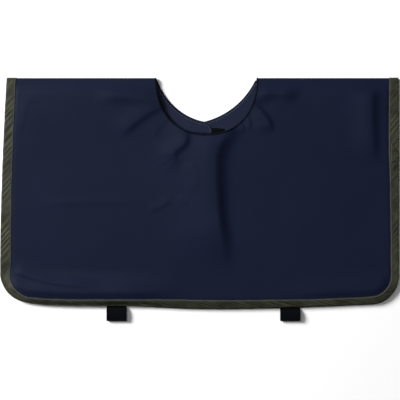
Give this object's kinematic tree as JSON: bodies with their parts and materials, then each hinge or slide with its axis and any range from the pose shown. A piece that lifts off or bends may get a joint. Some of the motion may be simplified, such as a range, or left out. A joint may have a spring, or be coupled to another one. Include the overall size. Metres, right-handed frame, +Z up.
{
  "type": "lead apron",
  "caption": "Poncho-style dental lead apron folded flat at the shoulders, with bound edges, scooped neck opening, neck closure tab and webbing hang loops.",
  "frame": {"origin": "under the centre of the folded apron's outline, on the surface that it lies on", "axes": "+X across the shoulders to the right in the view from above, +Y from hem to shoulder fold, +Z up, out of the front half's outer face"},
  "size_m": [0.7, 0.428, 0.0095],
  "materials": {
    "navy_coated_cover": "smooth polyurethane-coated nylon, low sheen",
    "navy_lining": "plain woven nylon, matt",
    "navy_neckband": "coated nylon strip, low sheen",
    "lead_vinyl": "lead-loaded vinyl sheet, matt grey",
    "olive_bias_tape": "woven satin bias tape with a soft sheen",
    "olive_thread": "polyester thread",
    "navy_thread": "polyester thread",
    "black_hook_and_loop": "hook-and-loop tape, matt",
    "black_webbing": "ribbed woven nylon webbing, matt"
  },
  "bodies": {
    "back_panel": {"back_outer_cover": "navy_coated_cover", "back_lead_vinyl_outer": "lead_vinyl", "back_lead_vinyl_inner": "lead_vinyl", "back_lining": "navy_lining", "back_edge_binding": "olive_bias_tape", "back_binding_stitching": "olive_thread", "left_shoulder_cover_fold": "navy_coated_cover", "left_shoulder_lead_vinyl_fold": "lead_vinyl", "left_shoulder_lining_fold": "navy_lining", "left_shoulder_binding_fold": "olive_bias_tape", "right_shoulder_cover_fold": "navy_coated_cover", "right_shoulder_lead_vinyl_fold": "lead_vinyl", "right_shoulder_lining_fold": "navy_lining", "right_shoulder_binding_fold": "olive_bias_tape", "left_loop_anchor": "black_webbing", "right_loop_anchor": "black_webbing", "loop_bartacks": "olive_thread", "neck_band_left": "navy_neckband", "neck_band_right": "navy_neckband", "neck_loop_tape": "black_hook_and_loop", "neck_band_stitching": "navy_thread"},
    "front_panel": {"front_outer_cover": "navy_coated_cover", "front_lead_vinyl_outer": "lead_vinyl", "front_lead_vinyl_inner": "lead_vinyl", "front_lining": "navy_lining", "front_edge_binding": "olive_bias_tape", "front_binding_stitching": "olive_thread", "front_neck_facing": "navy_neckband", "front_neck_stitching": "navy_thread"},
    "neck_tab": {"neck_tab": "navy_neckband", "neck_hook_tape": "black_hook_and_loop", "neck_tab_stitching": "navy_thread"},
    "left_loop": {"left_hang_loop": "black_webbing"},
    "right_loop": {"right_hang_loop": "black_webbing"}
  },
  "joints": [
    {"name": "shoulder_fold", "type": "hinge", "parent": "back_panel", "child": "front_panel", "pos_m": [0, 0.20925, 0.00475], "axis": [-1, 0, 0], "range_deg": [0, 179.9], "deforming": ["left_shoulder_cover_fold", "left_shoulder_lead_vinyl_fold", "left_shoulder_lining_fold", "left_shoulder_binding_fold", "right_shoulder_cover_fold", "right_shoulder_lead_vinyl_fold", "right_shoulder_lining_fold", "right_shoulder_binding_fold"]},
    {"name": "neck_tab_peel", "type": "hinge", "parent": "back_panel", "child": "neck_tab", "pos_m": [-0.012, 0.13, 0.0049], "axis": [0, -1, 0], "range_deg": [0, 110]},
    {"name": "left_loop_flop", "type": "hinge", "parent": "back_panel", "child": "left_loop", "pos_m": [-0.1457, -0.1883, 0.0038], "axis": [-1, 0, 0], "range_deg": [0, 70]},
    {"name": "right_loop_flop", "type": "hinge", "parent": "back_panel", "child": "right_loop", "pos_m": [0.1594, -0.1924, 0.0038], "axis": [-1, 0, 0], "range_deg": [0, 70]}
  ]
}
